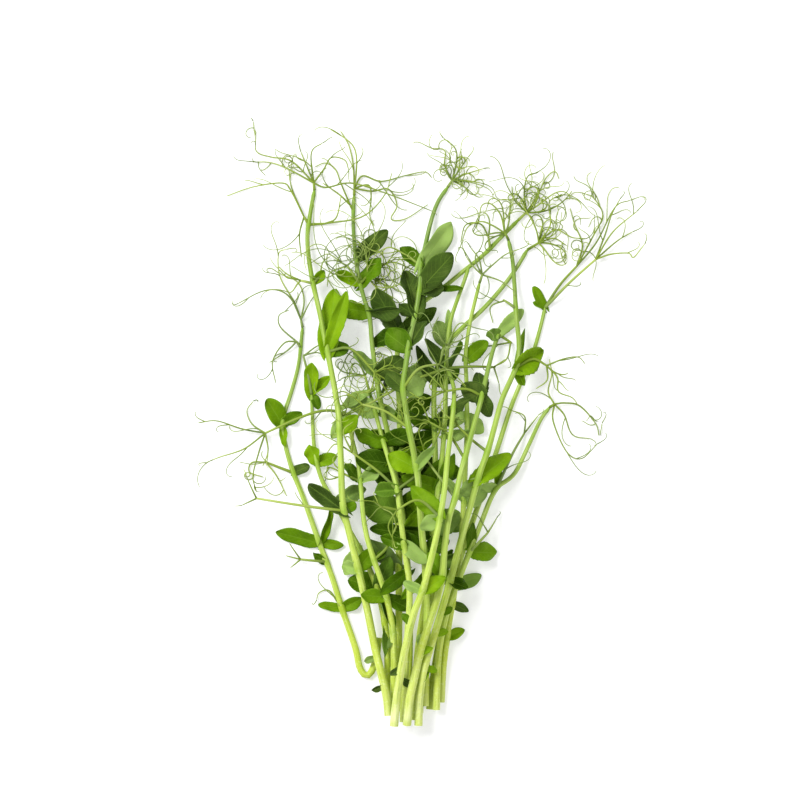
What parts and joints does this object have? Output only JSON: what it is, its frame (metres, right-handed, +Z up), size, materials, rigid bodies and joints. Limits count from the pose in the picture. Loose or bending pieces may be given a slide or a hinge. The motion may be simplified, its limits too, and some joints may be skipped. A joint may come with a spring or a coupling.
{
  "type": "bunch of cut pea shoots",
  "caption": "Loose bunch of cut pea shoots lying down: slender pale stems gathered at the cut ends, small oval leaves in pairs, and curling tendrils at the tips.",
  "frame": {"origin": "on the surface it lies on, under the middle of its bounding box", "axes": "+Z up from the surface, +Y along the stems from the cut ends to the tips, +X to the right seen from above with the tips away"},
  "size_m": [0.18, 0.2431, 0.0326],
  "materials": {
    "stem": "satin fresh pale green stem",
    "leaf": "satin green leaf with a paler underside",
    "tendril": "satin mid-green tendril"
  },
  "bodies": {
    "root": {"shoot_far_left": "stem", "shoot_far_right": "stem", "shoot_cross": "stem", "shoot_tower": "stem", "shoot_upper_right": "stem", "shoot_back_right": "stem", "shoot_inner_left": "stem", "shoot_back_centre": "stem", "shoot_centre": "stem", "shoot_low_left": "stem", "shoot_mid_left": "stem", "shoot_right_low": "stem", "shoot_right": "stem", "shoot_left": "stem", "shoot_front_right": "stem", "shoot_front": "stem"}
  },
  "joints": []
}
